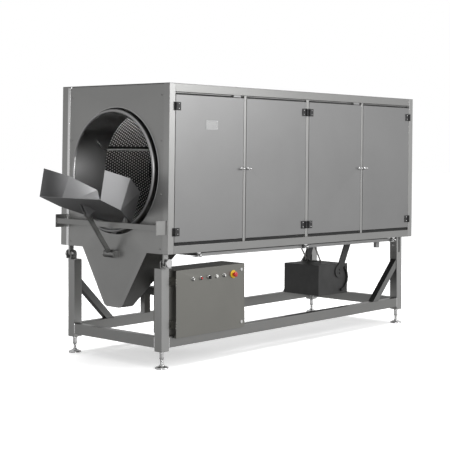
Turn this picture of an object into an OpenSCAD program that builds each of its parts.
// Rotary drum washer: perforated drum in a four-door cabinet that tilts on a base frame.
// X runs along the drum from infeed to discharge, -Y is the door side, and Z is up.
// The origin is on the floor, at the centre of the front left foot.

/* [Base frame] */
// Length over the legs
base_l = 3000; // [2900:10:3100]
// Width over the legs
base_w = 1050; // [1000:10:1100]
// Side of the square leg tube
leg_w = 75; // [70:1:80]
// Height of the leg bottoms above the floor
leg_bottom = 125; // [120:1:140]
// Height of the left leg tops
left_leg_top = 728; // [720:1:730]
// Height of the right leg tops
right_leg_top = 780; // [770:1:781]
// Height of the underside of the rails
rail_z = 150; // [145:1:155]
// Height of the rail tube
rail_h = 80; // [70:1:82]
// Thickness of the rail tube
rail_t = 60; // [50:1:65]
// Side of the brace tube
brace_w = 55; // [40:1:58]
// Reach of a brace along the rail and up the leg
brace_run = 350; // [250:10:400]
// Wall of every tube
tube_wall = 4; // [3:0.5:5]

/* [Feet] */
// Radius of the foot disc
foot_r = 50; // [40:1:60]
// Radius of the threaded spindle
spindle_r = 12; // [10:0.5:14]
// Radius of the sleeve nut
sleeve_r = 17.5; // [16:0.5:20]

/* [Tilt pivot] */
// Rest tilt of the cabinet, discharge end low, in degrees
tilt = 1; // [0.8:0.05:1.1]
// Height of the pivot axis
pivot_z = 768; // [766:1:770]
// Radius of the pivot pin
pivot_r = 12.5; // [10:0.5:14]
// Width of the U clevis across the machine
clevis_w = 60; // [56:1:64]
// How far the clevis stands out past the leg
clevis_out = 35; // [30:1:36]

/* [Cabinet] */
// Left end of the cabinet, from the left legs
cab_x = -12; // [-14:1:-10]
// Length of the cabinet
cab_l = 3060; // [3050:1:3070]
// Width of the cabinet
cab_w = 1200; // [1190:1:1210]
// Height of the cabinet floor frame, before the tilt
cab_z = 834; // [834:1:836]
// Height of the cabinet
cab_h = 1235; // [1230:1:1245]
// Side of the frame tube
frame_w = 60; // [58:1:60]
// Depth of the two rear posts across the machine
rear_post_w = 92; // [86:1:94]
// Thickness of the end panels, roof and rear panels
sheet = 3; // [2:0.5:4]
// Radius of the round opening in each end panel
opening_r = 474; // [472:1:478]

/* [Hopper] */
// Half width of the V plate at the cabinet floor
hopper_top_half = 360; // [340:5:380]
// Half width of the V plate at its bottom edge
hopper_low_half = 92; // [80:1:100]
// Height of the hopper bottom
hopper_z = 405; // [400:1:430]
// Radius of the rounded bottom corners
hopper_r = 60; // [50:1:62]
// Length of the hopper at the top
hopper_top_l = 330; // [300:5:335]
// Length of the hopper at the bottom
hopper_low_l = 116; // [110:1:120]
// Radius of the drain hole
drain_r = 45; // [30:1:45]

/* [Doors] */
// Thickness of a door
door_t = 25; // [20:1:28]
// Sheet of a door
door_sheet = 2; // [1.5:0.5:2.5]
// Gap between a door and its posts
door_gap = 4; // [4:0.5:5]
// Height of the lower edge of the doors
door_low = 918; // [910:1:925]
// Height of the upper edge of the doors
door_high = 1986; // [1970:1:1987]
// Middle of the post between doors 2 and 3
centre_post_x = 1550; // [1530:1:1560]
// Middle of the mullion between doors 1 and 2
left_mullion_x = 796; // [780:1:800]
// Middle of the mullion between doors 3 and 4
right_mullion_x = 2288; // [2260:1:2300]
// Width of the centre post
centre_post_w = 34; // [34:1:38]
// Width of a mullion
mullion_w = 26; // [24:1:30]
// Height of the latches
latch_z = 1449; // [1400:1:1500]
// Height of the lower hinges
low_hinge_z = 994; // [980:1:1010]
// Height of the upper hinges
high_hinge_z = 1902; // [1880:1:1920]

/* [Drum] */
// Inside radius of the drum
drum_r = 446; // [444:1:446]
// Wall of the drum
drum_wall = 4; // [3:0.5:4]
// Height of the drum axis, before the tilt
drum_z = 1424; // [1420:1:1428]
// Left end of the drum, which stands out of the infeed panel
drum_x = -35; // [-38:1:-30]
// Length of the drum
drum_l = 3055; // [3045:1:3058]
// Length of the plain band at the infeed end
infeed_band_l = 317; // [300:1:318]
// Length of the plain band at the discharge end
band_l = 262; // [240:1:264]
// Radius of the rolled lip at each end
lip_r = 12; // [6:1:14]
// Outside radius of a riding ring
ring_r = 480; // [476:1:482]
// Width of a riding ring
ring_w = 50; // [44:1:54]
// Height of a lifter flight
flight_h = 40; // [30:1:45]
// Angle of the first flight above the rear side, in degrees
flight_angle = 22; // [10:1:30]

/* [Rollers and drive] */
// Radius of a roller wheel
wheel_r = 75; // [72:1:75]
// Width of a roller wheel
wheel_w = 40; // [36:1:44]
// Radius of a roller shaft
shaft_r = 20; // [18:0.5:22]
// Angle of the rollers from the bottom of the drum, in degrees
roller_angle = 35; // [34:0.5:36]
// Teeth of the sprocket on the rear roller shaft
driven_teeth = 26; // [22:2:26]
// Teeth of the sprocket on the gearmotor
drive_teeth = 16; // [14:1:16]
// Length of the drive housing
housing_l = 410; // [400:1:415]
// Height of the drive housing
housing_h = 263; // [255:1:268]

/* [Chute] */
// Left end of the chute floor
chute_lip_x = -444; // [-460:1:-430]
// Height of the lip of the chute floor
chute_lip_z = 1230; // [1225:1:1235]
// Half width of the wide part of the chute
chute_half = 341; // [330:1:345]
// Half width of the inner end of the chute floor
chute_end_half = 150; // [130:1:155]
// Slope of the chute floor in degrees
chute_slope = 22; // [21:0.1:22.5]
// Side of the square crossbar
crossbar_w = 40; // [36:1:42]

/* [Control box] */
// Left side of the box
box_x = 118; // [110:1:125]
// Width of the door
box_w = 738; // [720:1:745]
// Lower edge of the door
box_z = 215; // [212:1:220]
// Height of the door
box_h = 492; // [480:1:495]
// Depth of the box behind the door
box_d = 215; // [190:1:215]
// Height of the row of buttons
button_z = 632; // [600:1:640]
// Left button from the left legs
first_button_x = 293; // [280:1:300]
// Distance between buttons
button_pitch = 84; // [80:1:86]

/* [Hidden] */

$fn = 64;
eps = 0.01;
run_gap = 0.06;              // radial clearance of a running fit
steel_tone = [0.66, 0.66, 0.67];
sheet_tone = [0.60, 0.60, 0.61];
dark_tone = [0.25, 0.25, 0.26];
black_tone = [0.06, 0.06, 0.06];
bright_tone = [0.82, 0.82, 0.83];

pivot_x = leg_w / 2;
leg_cap = 6;
leg_plug = 20;
cab_y = (base_w - cab_w) / 2;
cab_end = cab_x + cab_l;
cab_back = cab_y + cab_w;
cab_top = cab_z + cab_h;
frame_top = cab_top - sheet;
inner_front = cab_y + frame_w;
inner_back = cab_back - sheet - rear_post_w;
inner_w = inner_back - inner_front;
beam_l = inner_w + rear_post_w - frame_w;
drum_y = (inner_front + inner_back) / 2;
end_recess = 6;
opening_x0 = cab_x + frame_w;
opening_x1 = cab_end - frame_w;
door_post_t = 30;
beam_xs = [opening_x0 + 272, opening_x1 - 348, opening_x1 - frame_w - 3];
tongue_x = base_l - leg_w / 2;
tongue_t = 8;
slot_w = 16;
slot_low = 640;
clamp_z = 700;
clamp_r = 6;

hopper_corner_ys = [for (side = [-1, 1]) drum_y + side * (hopper_low_half - 0.55 * hopper_r)];
drum_out = drum_r + drum_wall;
screen_x = drum_x + infeed_band_l;
screen_l = drum_l - infeed_band_l - band_l;
ring_xs = [165, 2600];
roller_reach = ring_r + wheel_r + 0.3;
roller_dy = roller_reach * sin(roller_angle);
roller_z = drum_z - roller_reach * cos(roller_angle);
shaft_x = 110;
shaft_l = 2630;
chain_x = 2500;
chain_w = 16;
chain_pitch = 19.05;
motor_y = 520;
motor_z = 450;
housing_x = 2195;
housing_y = 308;
housing_d = 392;
housing_z = 328;
arm_foot = [2476, 528];
arm_head = [2627, cab_z];
arm_w = 75;
arm_t = 12;
arm_disc_r = 57;
arm_notch_z = 600;
arm_notch_h = 56;
pan_y = -5;
pan_d = 1055;
pan_z = 797;
pan_h = 24;
pan_spans = [[387, 1600], [1626, 2825]];
knob_xs = [365, 1613, 2847];

header_z = 1960;
header_r = 20;
spigot_r = 17;
spigot_l = 30;

crossbar_x = -90;
crossbar_z = 1027;
lug_ys = [drum_y - 212, drum_y + 212];
chute_pin_z = 1064;
chute_pin_r = 5;
chute_fold_x = -255;
chute_end_x = 30;
strut_foot = [-45, 805];
strut_head = [-272, 1105];
strut_pin_r = 8;

box_y = -5;
door_front = -30;
box_back = box_y + box_d;
box_body_z = rail_z + rail_h + 2;
box_top = box_z + box_h;
estop_x = 728;
lock_x = 818;
box_hinge = [box_x - 6, door_front - 5];
box_hinge_zs = [box_z + 60, box_z + box_h - 120];
box_lock_zs = [box_z + 45, box_z + box_h - 45];

door_spans = [
    [opening_x0, left_mullion_x - mullion_w / 2],
    [left_mullion_x + mullion_w / 2, centre_post_x - centre_post_w / 2],
    [centre_post_x + centre_post_w / 2, right_mullion_x - mullion_w / 2],
    [right_mullion_x + mullion_w / 2, opening_x1]];
hinge_r = 8;
hinge_pin_r = 3;
hinge_y = cab_y - hinge_r - 1;
hinge_h = 60;
latch_r = 6;
latch_inset = 20;

function hinge_left(i) = i % 2 == 0;
function hinge_x(i) = hinge_left(i) ? door_spans[i][0] + door_gap / 2 : door_spans[i][1] - door_gap / 2;
function latch_x(i) = hinge_left(i) ? door_spans[i][1] - door_gap - latch_inset
    : door_spans[i][0] + door_gap + latch_inset;
function pitch_r(teeth) = chain_pitch / 2 / sin(180 / teeth);
function chute_floor(x) = chute_lip_z - (x - chute_lip_x) * tan(chute_slope);

// ---- placing and basic shapes ----

module placed() translate([-leg_w / 2, -leg_w / 2, 0]) children();

module tilted() placed() translate([pivot_x, 0, pivot_z]) rotate([0, tilt, 0])
    translate([-pivot_x, 0, -pivot_z]) children();

module both_sides() {
    children();
    translate([0, base_w, 0]) mirror([0, 1, 0]) children();
}

module block(pos, size) translate(pos) cube(size);

module rod_x(pos, r, l) translate(pos) rotate([0, 90, 0]) cylinder(r = r, h = l);

module rod_y(pos, r, l) translate(pos) rotate([-90, 0, 0]) cylinder(r = r, h = l);

module rod_z(pos, r, l) translate(pos) cylinder(r = r, h = l);

// A hollow square tube that runs along one axis: 0 is X, 1 is Y, 2 is Z.
module tube(pos, size, axis, wall = tube_wall) translate(pos) difference() {
    cube(size);
    translate([for (i = [0:2]) i == axis ? -1 : wall])
        cube([for (i = [0:2]) i == axis ? size[i] + 2 : size[i] - 2 * wall]);
}

// Extrudes an outline drawn as (x, z) along +Y from the height y.
module plate_xz(y, t) translate([0, y + t, 0]) rotate([90, 0, 0]) linear_extrude(t) children();

// Extrudes an outline drawn as (y, z) along +X from the position x.
module plate_yz(x, t) translate([x, 0, 0]) rotate([90, 0, 90]) linear_extrude(t) children();

module slot_shape(low, high, r) {
    translate(low) circle(r);
    translate(high) circle(r);
    translate([low[0] - r, low[1]]) square([2 * r, high[1] - low[1]]);
}

// ---- base frame ----

// A leg tube with a plug in its foot, which holds the threaded spindle.
module leg(x, top) difference() {
    union() {
        tube([x, 0, leg_bottom], [leg_w, leg_w, top - leg_bottom], 2);
        block([x + 1, 1, leg_bottom], [leg_w - 2, leg_w - 2, leg_plug]);
    }
    rod_z([x + leg_w / 2, leg_w / 2, leg_bottom - 1], spindle_r + run_gap, leg_plug + 2);
}

module left_leg() {
    leg(0, left_leg_top - leg_cap);
    block([0, 0, left_leg_top - leg_cap], [leg_w, leg_w, leg_cap]);
}

// A right leg has an open top and two slots, and the tilt tongue slides inside it.
module right_leg() difference() {
    leg(base_l - leg_w, right_leg_top);
    block([tongue_x - slot_w / 2, -1, slot_low], [slot_w, leg_w + 2, right_leg_top]);
    rod_x([base_l - leg_w - 1, leg_w / 2, clamp_z], clamp_r + run_gap, leg_w + 2);
}

module legs() color(steel_tone) placed() both_sides() {
    left_leg();
    right_leg();
}

module long_rails() color(steel_tone) placed() both_sides()
    tube([leg_w, 0, rail_z], [base_l - 2 * leg_w, rail_t, rail_h], 0);

module cross_rails() color(steel_tone) placed() for (x = [0, base_l - rail_t])
    tube([x, leg_w, rail_z], [rail_t, base_w - 2 * leg_w, rail_h], 1);

module brace() plate_xz(rail_t - brace_w, brace_w) {
    foot_z = rail_z + rail_h;
    across = brace_w / cos(45);
    polygon([[leg_w, foot_z + brace_run], [leg_w, foot_z + brace_run - across],
        [leg_w + brace_run - across, foot_z], [leg_w + brace_run, foot_z]]);
}

// The control box stands where a front left brace would be.
module braces() color(steel_tone) placed() {
    both_sides() translate([base_l, 0, 0]) mirror([1, 0, 0]) brace();
    translate([0, base_w, 0]) mirror([0, 1, 0]) brace();
}

module clevis_wall() {
    translate([pivot_x, pivot_z]) circle(leg_w / 2 - 8);
    translate([8, left_leg_top]) square([leg_w - 16, pivot_z - left_leg_top]);
}

module clevises() color(steel_tone) placed() both_sides() difference() {
    union() {
        plate_xz(-clevis_out, 8) clevis_wall();
        plate_xz(clevis_w - clevis_out - 8, 8) clevis_wall();
        block([8, -clevis_out, left_leg_top], [leg_w - 16, clevis_w, 8]);
    }
    rod_y([pivot_x, -clevis_out - 1, pivot_z], pivot_r + run_gap, clevis_w + 2);
}

module base_bolts() color(bright_tone) placed() both_sides() {
    rod_y([pivot_x, -clevis_out - 9, pivot_z], pivot_r, clevis_w + 22);
    rod_y([pivot_x, -clevis_out - 10, pivot_z], 30, 9.5);
    rod_y([pivot_x, clevis_w - clevis_out + 0.5, pivot_z], 20, 11);
    rod_x([base_l - leg_w - 8, leg_w / 2, clamp_z], clamp_r, leg_w + 18);
    rod_x([base_l + 0.5, leg_w / 2, clamp_z], 11, 9);
    rod_x([base_l - leg_w - 9, leg_w / 2, clamp_z], 11, 8.5);
}

// ---- levelling feet ----

module foot(x, y) color(bright_tone) placed() translate([x, y, 0]) {
    cylinder(r = foot_r, h = 10);
    translate([0, 0, 10 - eps]) cylinder(r1 = foot_r, r2 = 20, h = 12);
    cylinder(r = spindle_r, h = 200);
    translate([0, 0, 68]) cylinder(r = sleeve_r, h = leg_bottom - 70);
}

module foot_front_left() foot(leg_w / 2, leg_w / 2);
module foot_rear_left() foot(leg_w / 2, base_w - leg_w / 2);
module foot_front_right() foot(base_l - leg_w / 2, leg_w / 2);
module foot_rear_right() foot(base_l - leg_w / 2, base_w - leg_w / 2);

// ---- control box ----

module control_box() color(steel_tone) placed() {
    difference() {
        block([box_x + 3, box_y, box_body_z], [box_w - 6, box_d, box_top - box_body_z]);
        block([box_x + 5, box_y - 1, box_body_z + 2], [box_w - 10, box_d - 1, box_top - box_body_z - 4]);
    }
    for (z = [box_body_z + 50, box_top - 110]) block([leg_w, box_y + 20, z], [box_x + 3 - leg_w, 30, 60]);
    for (z = box_hinge_zs) {
        rod_z([box_hinge[0], box_hinge[1], z], 2.5, 60);
        for (low = [z, z + 40]) {
            rod_z([box_hinge[0], box_hinge[1], low], 5, 20);
            block([box_hinge[0] + 1.5, box_hinge[1], low], [4, 60, 20]);
            block([box_hinge[0] + 5, box_y + 5, low], [4, 20, 20]);
        }
    }
}

module drive_panel() color([0.45, 0.47, 0.5]) placed() {
    back = box_back - 8;
    block([box_x + 30, back - 3, box_body_z + 25], [box_w - 60, 3, box_h - 80]);
    for (x = [box_x + 60, box_x + 300]) for (z = [300, 560]) block([x, back, z], [24, 6, 24]);
    block([box_x + 80, back - 133, 420], [130, 130 + eps, 200]);
    block([box_x + 300, back - 10, 540], [360, 7 + eps, 35]);
    for (i = [0:5]) block([box_x + 310 + i * 56, back - 90, 515], [45, 80 + eps, 85]);
    block([box_x + 300, back - 48, 300], [360, 45 + eps, 50]);
}

module wireway() color(steel_tone) placed() difference() {
    union() {
        block([215, box_back, 490], [60, 455 - box_back, 60]);
        block([215, 410, 345], [60, 45, 150]);
    }
    block([218, box_back - 1, 493], [54, 453 - box_back, 54]);
    block([218, 413, 344], [54, 39, 160]);
}

module control_door() color(steel_tone) placed() difference() {
    union() {
        difference() {
            block([box_x, door_front, box_z], [box_w, -door_front - 8, box_h]);
            block([box_x + 2, door_front + 2, box_z + 2], [box_w - 4, -door_front, box_h - 4]);
        }
        for (z = box_hinge_zs) {
            rod_z([box_hinge[0], box_hinge[1], z + 20.2], 5, 19.6);
            block([box_hinge[0] + 3, box_hinge[1] + 1, z + 20.2], [12, 4 + eps, 19.6]);
        }
    }
    for (z = box_hinge_zs) rod_z([box_hinge[0], box_hinge[1], z], 2.5 + run_gap, 60);
    for (i = [0:4]) rod_y([first_button_x + i * button_pitch, door_front - 1, button_z], 11 + run_gap, 10);
    rod_y([estop_x, door_front - 1, button_z], 11 + run_gap, 10);
    for (z = box_lock_zs) rod_y([lock_x, door_front - 1, z], 8 + run_gap, 10);
}

module bezel(x) difference() {
    rod_y([x, door_front - 7, button_z], 15, 7);
    rod_y([x, door_front - 8, button_z], 11 + run_gap, 12);
}

module estop_ring() difference() {
    rod_y([estop_x, door_front - 5, button_z], 31, 5);
    rod_y([estop_x, door_front - 6, button_z], 11 + run_gap, 12);
}

// The bezels, the fixed white lamp and the yellow ring.
module button_bezels() placed() {
    color(bright_tone) for (i = [0:4]) bezel(first_button_x + i * button_pitch);
    color("white") rod_y([first_button_x + 3 * button_pitch, door_front - 12, button_z], 11, 20);
    color("gold") estop_ring();
}

module push_button(x, tone) color(tone) placed() rod_y([x, door_front - 13, button_z], 11, 40);

module start_button() push_button(first_button_x, black_tone);
module stop_button() push_button(first_button_x + button_pitch, black_tone);
module reset_button() push_button(first_button_x + 4 * button_pitch, black_tone);

module selector_knob() color(black_tone) placed() {
    x = first_button_x + 2 * button_pitch;
    rod_y([x, door_front - 12, button_z], 11, 40);
    block([x - 4, door_front - 24, button_z - 12], [8, 13, 24]);
}

module estop_button() color("red") placed() {
    rod_y([estop_x, door_front - 20, button_z], 11, 50);
    rod_y([estop_x, door_front - 34, button_z], 20, 16);
}

module box_lock(z) color(bright_tone) placed() {
    rod_y([lock_x, door_front - 4, z], 8, 22);
    rod_y([lock_x, door_front - 5, z], 12, 4.8);
    block([lock_x - 6, door_front + 14, z - 20], [12, 4, 28]);
}

module upper_lock() box_lock(box_lock_zs[1]);
module lower_lock() box_lock(box_lock_zs[0]);

// ---- cabinet frame and panels ----

module cabinet_posts() color(steel_tone) tilted() {
    for (x = [cab_x, opening_x1]) {
        tube([x, cab_y, cab_z], [frame_w, frame_w, frame_top - cab_z], 2);
        tube([x, inner_back, cab_z], [frame_w, rear_post_w, frame_top - cab_z], 2);
    }
    for (p = [[left_mullion_x, mullion_w], [centre_post_x, centre_post_w], [right_mullion_x, mullion_w]])
        tube([p[0] - p[1] / 2, cab_y, cab_z + frame_w], [p[1], door_post_t, cab_h - sheet - 2 * frame_w], 2, 3);
}

module cabinet_rails() color(steel_tone) tilted() {
    for (z = [cab_z, frame_top - frame_w]) for (y = [cab_y, cab_back - sheet - frame_w])
        tube([opening_x0, y, z], [opening_x1 - opening_x0, frame_w, frame_w], 0);
    for (span = door_spans) {
        landing_strip(span, cab_z + frame_w, door_low - 4);
        landing_strip(span, door_high + 4, frame_top - frame_w);
    }
}

// The strip behind a door's edge, which the door closes against.
module landing_strip(span, low, high) block([span[0], cab_y + 17, low], [span[1] - span[0], 3, high - low]);

module cabinet_crossbeams() color(steel_tone) tilted() {
    for (z = [cab_z, frame_top - frame_w]) for (x = [cab_x + end_recess, opening_x1])
        tube([x, inner_front, z], [frame_w - end_recess, inner_w, frame_w], 1);
    for (x = beam_xs) tube([x, inner_front, cab_z], [frame_w, beam_l, frame_w], 1);
}

module tilt_brackets() color(steel_tone) tilted() {
    tilt_tabs();
    tilt_tongues();
}

module tilt_tabs() both_sides() difference() {
    plate_xz(-13, 16) {
        translate([pivot_x, pivot_z]) circle(25);
        translate([pivot_x - 25, pivot_z]) square([40, cab_z - pivot_z]);
    }
    rod_y([pivot_x, -14, pivot_z], pivot_r + run_gap, 18);
}

module tilt_tongues() both_sides() plate_yz(tongue_x - tongue_t / 2, tongue_t) difference() {
    translate([8, cab_z - 190]) square([leg_w - 16, 190]);
    slot_shape([leg_w / 2, cab_z - 164], [leg_w / 2, cab_z - 78], clamp_r + 1.5);
}

module end_plate_outline() difference() {
    translate([inner_front, cab_z]) square([inner_w, frame_top - cab_z - 9]);
    translate([drum_y, drum_z]) circle(opening_r);
}

module infeed_panel() color(sheet_tone) tilted() {
    plate_yz(cab_x + sheet, sheet) {
        end_plate_outline();
        hull() {
            translate([drum_y - hopper_top_half, cab_z]) square([2 * hopper_top_half, 1]);
            for (y = hopper_corner_ys) translate([y, hopper_z + hopper_r]) circle(hopper_r);
        }
    }
    for (side = [-1, 1]) plate_xz(drum_y + side * 52 - 4, 8) {
        translate(strut_foot) circle(26);
        translate([strut_foot[0], strut_foot[1] - 26]) square([cab_x + sheet - strut_foot[0] + 1, 52]);
    }
    rod_y([strut_foot[0], drum_y - 62, strut_foot[1]], 10, 124);
}

module discharge_panel() color(sheet_tone) tilted() plate_yz(cab_end - 2 * sheet, sheet) difference() {
    end_plate_outline();
    translate([drum_y, header_z]) circle(header_r + 1);
}

module roof_panel() color(sheet_tone) tilted() block([cab_x, cab_y, frame_top], [cab_l, cab_w, sheet]);

module rear_panels() color(sheet_tone) tilted() {
    half = cab_l / 2 - 1;
    for (x = [cab_x, cab_x + half + 2]) block([x, cab_back - sheet, cab_z], [half, sheet, frame_top - cab_z]);
}

module hopper_solid(inset) hull() {
    block([cab_x + 2 * sheet - inset, drum_y - hopper_top_half + inset, cab_z - 1],
        [hopper_top_l, 2 * (hopper_top_half - inset), 1]);
    for (y = hopper_corner_ys)
        rod_x([cab_x + 2 * sheet - inset, y, hopper_z + hopper_r], hopper_r - inset, hopper_low_l);
}

module sump_hopper() color(sheet_tone) tilted() difference() {
    hopper_solid(0);
    hopper_solid(sheet);
    block([cab_x, drum_y - hopper_top_half + 5, cab_z - 3], [hopper_top_l, 2 * hopper_top_half - 10, 4]);
    rod_z([cab_x + 2 * sheet + hopper_low_l / 2, drum_y, hopper_z - 1], drain_r, 10);
}

module drip_pans() color(sheet_tone) tilted() difference() {
    union() {
        for (s = pan_spans) difference() {
            block([s[0], pan_y, pan_z], [s[1] - s[0], pan_d, pan_h]);
            block([s[0] + 2, pan_y + 2, pan_z + 2], [s[1] - s[0] - 4, pan_d - 4, pan_h]);
        }
        rod_z([2700, 60, pan_z - 54], 25, 55);
    }
    rod_z([2700, 60, pan_z - 55], 22, 60);
    block([chain_x - 25, 605, pan_z - 1], [50, 250, pan_h + 2]);
    for (y = [housing_y - arm_t - 4, housing_y + housing_d - 4])
        block([arm_head[0] - 75, y, pan_z - 1], [140, arm_t + 8, pan_h + 2]);
}

// A welded hanger with a ledge that carries the pan, and the knob screwed into it.
module pan_hanger(x) {
    knob_z = pan_z + 12;
    difference() {
        union() {
            block([x - 20, pan_y - 14, pan_z - 3], [40, 3, cab_z - pan_z + 3]);
            block([x - 35, pan_y - 14, pan_z - 3], [70, 40, 3]);
        }
        rod_y([x, pan_y - 16, knob_z], 6 + run_gap, 10);
    }
    rod_y([x, pan_y - 20, knob_z], 6, 16);
    translate([x, pan_y - 28, knob_z]) sphere(13);
    block([x - 20, cab_back - sheet - frame_w + 2, pan_z], [40, 3, cab_z - pan_z]);
    block([x - 35, pan_y + pan_d - 20, pan_z - 3], [70, cab_back - sheet - frame_w + 25 - pan_y - pan_d, 3]);
}

module pan_hangers() color(bright_tone) tilted() for (x = knob_xs) pan_hanger(x);

// ---- hinges and interlocks ----

module fixed_leaf(i) translate([hinge_x(i), 0, 0]) mirror([hinge_left(i) ? 0 : 1, 0, 0])
    for (z = [low_hinge_z, high_hinge_z]) translate([0, 0, z]) {
        rod_z([0, hinge_y, -hinge_h / 2], hinge_pin_r, hinge_h);
        block([-19, cab_y - 5, -hinge_h / 2], [10, 5, hinge_h]);
        for (low = [-hinge_h / 2, hinge_h / 6]) {
            rod_z([0, hinge_y, low], hinge_r, hinge_h / 3);
            block([-12, cab_y - 5, low], [12, 4, hinge_h / 3]);
        }
    }

module fixed_hinge_leaves() color(black_tone) tilted() for (i = [0:3]) fixed_leaf(i);

module interlocks() color(bright_tone) tilted() for (x = [left_mullion_x - 131, right_mullion_x - 121])
    block([x, cab_y + 1, door_high + 4], [80, 16, 16]);

// ---- crossbar ----

module crossbar() color(steel_tone) tilted() {
    half = crossbar_w / 2;
    tube([crossbar_x - half, cab_y + 20, crossbar_z - half],
        [crossbar_w, inner_back + 30 - cab_y - 20, crossbar_w], 1, 3);
    for (y = [cab_y + 12, inner_back + 30]) {
        block([crossbar_x - 26, y, crossbar_z - 50], [cab_x - crossbar_x + 26, 8, 100]);
        block([cab_x - 8, y - 8, crossbar_z - 50], [8, 24, 100]);
    }
    for (y = lug_ys) {
        for (side = [-1, 1]) plate_xz(y + side * 8 - 3, 6) {
            translate([crossbar_x, chute_pin_z]) circle(12);
            translate([crossbar_x - 12, crossbar_z + half]) square([24, chute_pin_z - crossbar_z - half]);
        }
        rod_y([crossbar_x, y - 15, chute_pin_z], chute_pin_r, 30);
    }
}

// ---- drive ----

module gearmotor() color(dark_tone) tilted() difference() {
    union() {
        rod_x([2210, motor_y, motor_z], 70, 191);
        rod_x([2202, motor_y, motor_z], 60, 9);
        block([2400, motor_y - 70, motor_z - 70], [70, 140, 140]);
        block([2270, motor_y - 45, motor_z + 60], [90, 90, 45]);
        block([2240, motor_y - 80, housing_z + 8], [230, 160, motor_z - 60 - housing_z - 8]);
    }
    rod_x([2440, motor_y, motor_z], 15 + run_gap, 40);
}

module drive_housing() color(dark_tone) tilted() difference() {
    block([housing_x, housing_y, housing_z], [housing_l, housing_d, housing_h]);
    block([housing_x + 3, housing_y + 3, housing_z + 8],
        [housing_l - 6, housing_d - 6, housing_h - 11]);
    block([chain_x - 25, 500, housing_z + housing_h - 4], [50, 196, 6]);
}

module hanger_arm(y) {
    plate_xz(y, arm_t) {
        translate(arm_foot) circle(arm_disc_r);
        translate(arm_foot) rotate(-atan2(arm_head[0] - arm_foot[0], arm_head[1] - arm_foot[1]))
            translate([-arm_w / 2, 0]) square([arm_w, norm(arm_head - arm_foot) - 16]);
    }
    block([arm_head[0] - 45, y, cab_z - 26], [100, arm_t, 26]);
}

// The rear arm has a notch that the chain passes through.
module hanger_arms() color(dark_tone) tilted() {
    front = housing_y - arm_t;
    back = housing_y + housing_d;
    hanger_arm(front);
    difference() {
        hanger_arm(back);
        block([chain_x - chain_w, back - 1, arm_notch_z], [2 * chain_w - 2, arm_t + 2, arm_notch_h]);
    }
    for (dz = [-18, 14]) {
        rod_y([arm_foot[0] + 6, front - 7, arm_foot[1] + dz], 9, 7 + eps);
        rod_y([arm_foot[0] + 6, back + arm_t - eps, arm_foot[1] + dz], 9, 7 + eps);
    }
}

module motor_cable() color(black_tone) tilted() {
    bend_r = 110;
    centre = [housing_x + 285, housing_z + 142];
    ends = [-75, 50];
    translate([centre[0], housing_y - 10, centre[1]]) rotate([90, 0, 0]) rotate([0, 0, ends[0]])
        rotate_extrude(angle = ends[1] - ends[0]) translate([bend_r, 0]) circle(9, $fn = 24);
    for (a = ends)
        rod_y([centre[0] + bend_r * cos(a), housing_y - 22, centre[1] + bend_r * sin(a)], 13, 22);
}

module chain_loop(clear) hull() {
    translate([motor_y, motor_z]) circle(pitch_r(drive_teeth) + clear);
    translate([drum_y + roller_dy, roller_z]) circle(pitch_r(driven_teeth) + clear);
}

// The chain as a plain band just outside the tips of the teeth.
module drive_chain() color([0.35, 0.34, 0.33]) tilted() plate_yz(chain_x - chain_w / 2, chain_w) difference() {
    chain_loop(13);
    chain_loop(5);
}

module sprocket(y, z, teeth) plate_yz(chain_x - 5, 10) translate([y, z]) {
    circle(pitch_r(teeth) - 5);
    for (i = [0:teeth - 1]) rotate(i * 360 / teeth)
        translate([pitch_r(teeth) - 6, 0]) polygon([[0, -5], [10, -1.6], [10, 1.6], [0, 5]]);
}

module drive_sprocket() color(steel_tone) tilted() {
    rod_x([2445, motor_y, motor_z], 15, 75);
    sprocket(motor_y, motor_z, drive_teeth);
}

module roller_shaft(y) {
    rod_x([shaft_x, y, roller_z], shaft_r, shaft_l);
    for (x = ring_xs) {
        rod_x([x - wheel_w / 2, y, roller_z], wheel_r, wheel_w);
        rod_x([x - wheel_w / 2 - 12, y, roller_z], 32, wheel_w + 24);
    }
}

module front_roller_shaft() color(steel_tone) tilted() roller_shaft(drum_y - roller_dy);

module rear_roller_shaft() color(steel_tone) tilted() {
    roller_shaft(drum_y + roller_dy);
    sprocket(drum_y + roller_dy, roller_z, driven_teeth);
}

module pillow_blocks() color(dark_tone) tilted() for (x = [beam_xs[0], beam_xs[1]]) for (side = [-1, 1]) {
    y = drum_y + side * roller_dy;
    base_z = cab_z + frame_w;
    difference() {
        union() {
            block([x + 10, y - 65, base_z], [40, 130, 18]);
            block([x + 12, y - 38, base_z], [36, 76, roller_z - base_z]);
            rod_x([x + 8, y, roller_z], 42, 44);
        }
        rod_x([x, y, roller_z], shaft_r + run_gap, 70);
    }
}

// ---- spray header ----

// The pipe has nozzles below it, hangers above it and a narrower spigot for the water hose at its end.
module spray_header() color(bright_tone) tilted() {
    header_x = 90;
    shoulder_x = cab_end + 5;
    bore_r = spigot_r - 3;
    difference() {
        union() {
            rod_x([header_x, drum_y, header_z], header_r, shoulder_x - header_x);
            rod_x([shoulder_x - 1, drum_y, header_z], spigot_r, spigot_l + 1);
            for (x = [150, 1500, 2850])
                block([x - 15, drum_y - 25, header_z + 16], [30, 50, frame_top - header_z - 16]);
            for (x = [200:200:2900]) {
                rod_z([x, drum_y, header_z - 40], 8, 30);
                rod_z([x, drum_y, header_z - 48], 11, 12);
            }
        }
        rod_x([header_x + 4, drum_y, header_z], bore_r, shoulder_x + spigot_l);
    }
}

// ---- drum ----

module drum_shell(x, l) difference() {
    rod_x([x, drum_y, drum_z], drum_out, l, $fn = 128);
    rod_x([x - 1, drum_y, drum_z], drum_r, l + 2, $fn = 128);
}

module ring(x, inner, outer, l) difference() {
    rod_x([x, drum_y, drum_z], outer, l);
    rod_x([x - 1, drum_y, drum_z], inner, l + 2);
}

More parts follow.
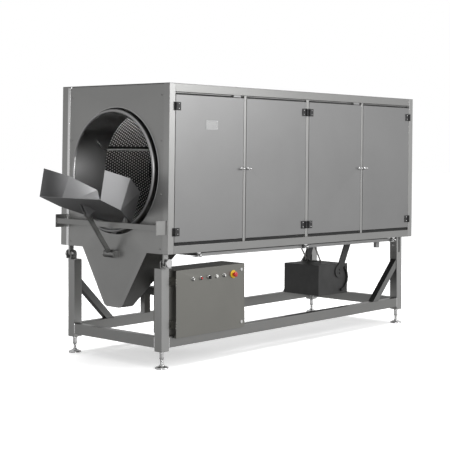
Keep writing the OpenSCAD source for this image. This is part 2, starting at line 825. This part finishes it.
module drum_screen() color(bright_tone) tilted() {
    drum_shell(screen_x, screen_l);
    for (i = [1:4]) ring(screen_x + i * screen_l / 5 - 15, drum_r + 1, drum_out + 12, 30);
}

module rolled_lip(x) translate([x, drum_y, drum_z]) rotate([0, 90, 0])
    rotate_extrude() translate([drum_r + drum_wall / 2, 0]) circle(lip_r, $fn = 32);

module drum_end_bands() color(sheet_tone) tilted() {
    drum_shell(drum_x, infeed_band_l);
    drum_shell(screen_x + screen_l, band_l);
    rolled_lip(drum_x);
    rolled_lip(drum_x + drum_l);
}

module riding_rings() color(steel_tone) tilted() for (x = ring_xs) ring(x - ring_w / 2, drum_out, ring_r, ring_w);

module lifter_flights() color(bright_tone) tilted() translate([0, drum_y, drum_z])
    for (a = [0, 120, 240]) rotate([flight_angle + a, 0, 0])
        block([screen_x - 40, drum_r - flight_h, -3], [screen_l + 80, flight_h + 0.5, 6]);

// ---- doors and latches ----

module moving_leaf(i) translate([hinge_x(i), 0, 0]) mirror([hinge_left(i) ? 0 : 1, 0, 0])
    for (z = [low_hinge_z, high_hinge_z]) translate([0, 0, z]) {
        block([9, cab_y - 5, -hinge_h / 2], [40, 5, hinge_h]);
        difference() {
            union() {
                rod_z([0, hinge_y, -hinge_h / 6 + 0.2], hinge_r, hinge_h / 3 - 0.4);
                block([0, cab_y - 5, -hinge_h / 6 + 0.2], [12, 4, hinge_h / 3 - 0.4]);
            }
            rod_z([0, hinge_y, -hinge_h / 2], hinge_pin_r + run_gap, hinge_h);
        }
    }

module door(i) tilted() {
    x0 = door_spans[i][0] + door_gap;
    w = door_spans[i][1] - door_gap - x0;
    h = door_high - door_low;
    color(steel_tone) difference() {
        block([x0, cab_y, door_low], [w, door_t, h]);
        block([x0 + door_sheet, cab_y + door_sheet, door_low + door_sheet],
            [w - 2 * door_sheet, door_t, h - 2 * door_sheet]);
        rod_y([latch_x(i), cab_y - 1, latch_z], latch_r + run_gap, 10);
    }
    color(black_tone) moving_leaf(i);
}

module door_1() door(0);
module door_2() door(1);
module door_3() door(2);
module door_4() door(3);

module latch(i) color(bright_tone) tilted() translate([latch_x(i), 0, latch_z]) {
    rod_y([0, cab_y - 30, 0], latch_r, 48);
    rod_y([0, cab_y - 7, 0], 12, 6.5);
    rod_x([-22, cab_y - 31, 0], 7, 44);
    block([hinge_left(i) ? -8 : -14, cab_y + 12, -8], [22, 4, 16]);
}

module latch_1() latch(0);
module latch_2() latch(1);
module latch_3() latch(2);
module latch_4() latch(3);

// ---- chute and strut ----

// The side outline of the wide part, from the lip to the fold, as (x, z).
function chute_side(drop) = [
    [chute_lip_x, chute_floor(chute_lip_x) - drop],
    [chute_lip_x + 37, chute_floor(chute_lip_x) + 207],
    [chute_fold_x + 90, chute_floor(chute_fold_x) + 224],
    [chute_fold_x, chute_floor(chute_fold_x) - drop]];

// The space that runs over the floor and out past the lip and the top edges.
function chute_space() = [
    [chute_lip_x - 40, chute_floor(chute_lip_x - 40)],
    [chute_lip_x - 40, chute_lip_z + 300],
    [chute_fold_x + 120, chute_lip_z + 300],
    chute_side(0)[2],
    chute_side(0)[3]];

// The narrowing part between the fold and the end inside the drum.
module chute_funnel(grow, past) hull() {
    plate_xz(drum_y - chute_half - grow, 2 * (chute_half + grow)) polygon([
        chute_side(grow)[3] - [past, 0], chute_side(grow)[3] + [1, 0],
        chute_side(grow)[2] + [1, past], chute_side(grow)[2] + [-past, past]]);
    plate_yz(chute_end_x - 1, 1 + past) polygon([
        [drum_y - chute_end_half - grow, chute_floor(chute_end_x) - grow],
        [drum_y + chute_end_half + grow, chute_floor(chute_end_x) - grow],
        [drum_y + chute_end_half + 90 + grow, chute_floor(chute_end_x) + 232 + past],
        [drum_y - chute_end_half - 90 - grow, chute_floor(chute_end_x) + 232 + past]]);
}

module chute() color(sheet_tone) tilted() {
    difference() {
        union() {
            plate_xz(drum_y - chute_half - sheet, 2 * (chute_half + sheet)) polygon(chute_side(sheet));
            chute_funnel(sheet, 0);
        }
        plate_xz(drum_y - chute_half, 2 * chute_half) polygon(chute_space());
        chute_funnel(0, 4);
    }
    chute_tabs();
    strut_clamp();
}

module chute_tabs() for (y = lug_ys) difference() {
    plate_xz(y - 4, 8) {
        translate([crossbar_x, chute_pin_z]) circle(10);
        polygon([[crossbar_x - 10, chute_pin_z], [crossbar_x + 10, chute_pin_z],
            [crossbar_x + 10, chute_floor(crossbar_x + 10) - 1],
            [crossbar_x - 10, chute_floor(crossbar_x - 10) - 1]]);
    }
    rod_y([crossbar_x, y - 5, chute_pin_z], chute_pin_r + run_gap, 10);
}

module strut_clamp() {
    for (side = [-1, 1]) plate_xz(drum_y + side * 14 - 4, 8) {
        translate(strut_head) circle(18);
        polygon([[strut_head[0] - 18, strut_head[1]], [strut_head[0] + 18, strut_head[1]],
            [strut_head[0] + 60, chute_floor(strut_head[0] + 60) - 1],
            [strut_head[0] - 60, chute_floor(strut_head[0] - 60) - 1]]);
    }
    rod_y([strut_head[0], drum_y - 22, strut_head[1]], strut_pin_r, 44);
}

module strut() color(steel_tone) tilted() {
    run = strut_head - strut_foot;
    difference() {
        union() {
            rod_y([strut_foot[0], drum_y - 46, strut_foot[1]], 27, 92);
            plate_xz(drum_y - 6, 12) translate(strut_foot) rotate(-atan2(run[0], run[1]))
                translate([-17, 0]) square([34, norm(run) + 36]);
        }
        rod_y([strut_foot[0], drum_y - 50, strut_foot[1]], 10 + run_gap, 100);
        plate_xz(drum_y - 7, 14) translate(strut_foot) rotate(-atan2(run[0], run[1]))
            slot_shape([0, norm(run) - 2], [0, norm(run) + 20], strut_pin_r + 1.5);
    }
}

legs();
long_rails();
cross_rails();
braces();
clevises();
base_bolts();
control_box();
drive_panel();
wireway();
foot_front_left();
foot_rear_left();
foot_front_right();
foot_rear_right();
control_door();
button_bezels();
start_button();
stop_button();
reset_button();
selector_knob();
estop_button();
upper_lock();
lower_lock();
cabinet_posts();
cabinet_rails();
cabinet_crossbeams();
tilt_brackets();
infeed_panel();
discharge_panel();
roof_panel();
rear_panels();
sump_hopper();
drip_pans();
pan_hangers();
fixed_hinge_leaves();
interlocks();
crossbar();
gearmotor();
drive_housing();
hanger_arms();
motor_cable();
pillow_blocks();
spray_header();
drive_chain();
drum_screen();
drum_end_bands();
riding_rings();
lifter_flights();
front_roller_shaft();
rear_roller_shaft();
drive_sprocket();
door_1();
door_2();
door_3();
door_4();
latch_1();
latch_2();
latch_3();
latch_4();
chute();
strut();
